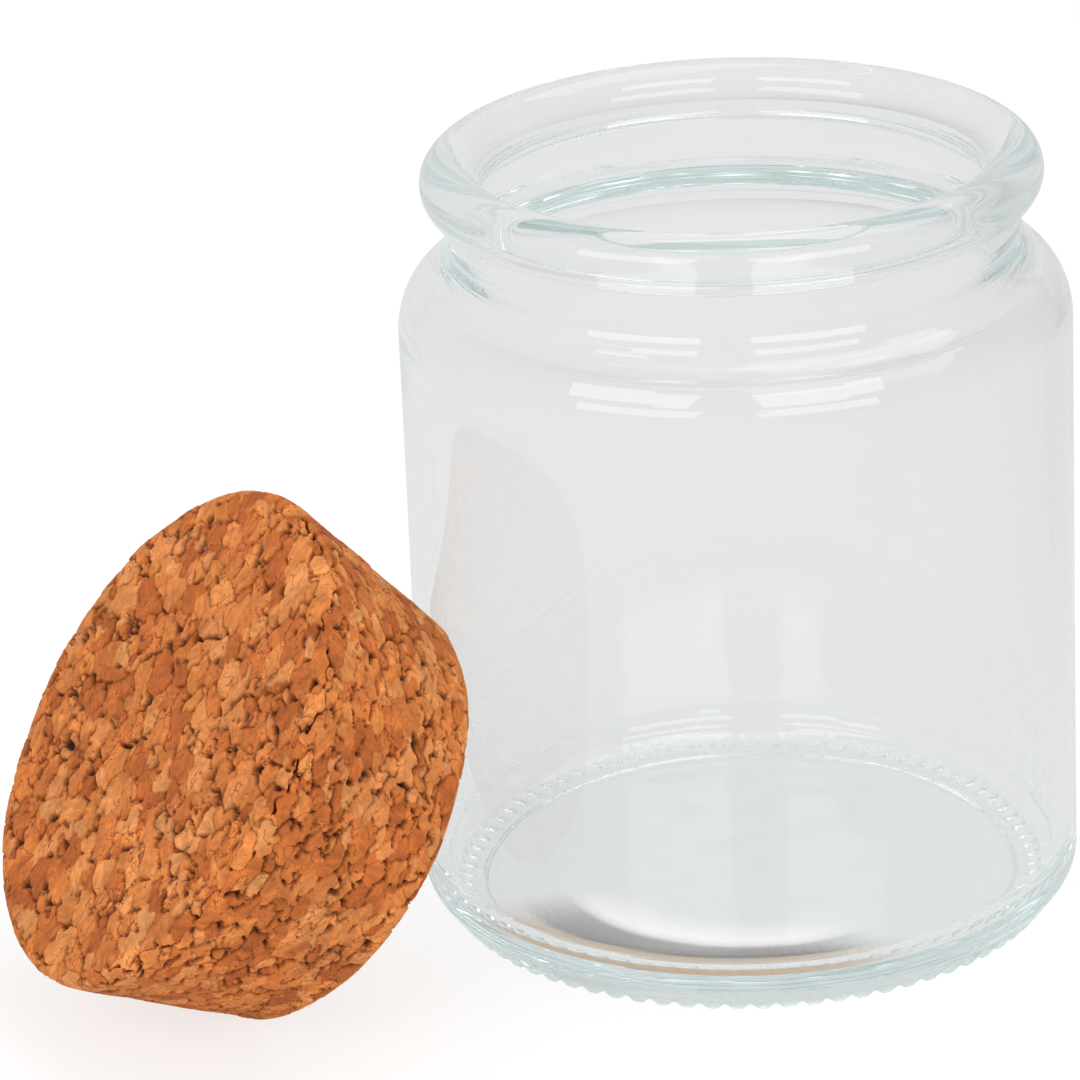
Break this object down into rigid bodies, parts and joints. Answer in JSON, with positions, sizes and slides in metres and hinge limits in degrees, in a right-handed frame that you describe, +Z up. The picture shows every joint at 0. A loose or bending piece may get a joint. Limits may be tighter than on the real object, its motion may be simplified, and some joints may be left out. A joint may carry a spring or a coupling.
{
  "type": "glass jar with cork lid",
  "caption": "Squat cylindrical clear glass storage jar with a rounded shoulder, short neck and thick rim bead, and its tapered cork stopper leaning against the side.",
  "frame": {"origin": "centre of the ring that the jar stands on, on the jar's axis", "axes": "+Z up along the jar's axis and out of its mouth; the cork lid leans on the jar's -X side"},
  "size_m": [0.1506, 0.09, 0.1068],
  "materials": {
    "glass": "polished",
    "cork": "matte"
  },
  "bodies": {
    "jar": {"glass_jar": "glass"},
    "cork": {"cork_lid": "cork"}
  },
  "joints": [
    {"name": "cork_lift", "type": "slide", "parent": "jar", "child": "cork", "axis": [0, 0, 1], "range_m": [0, 0.13]}
  ]
}
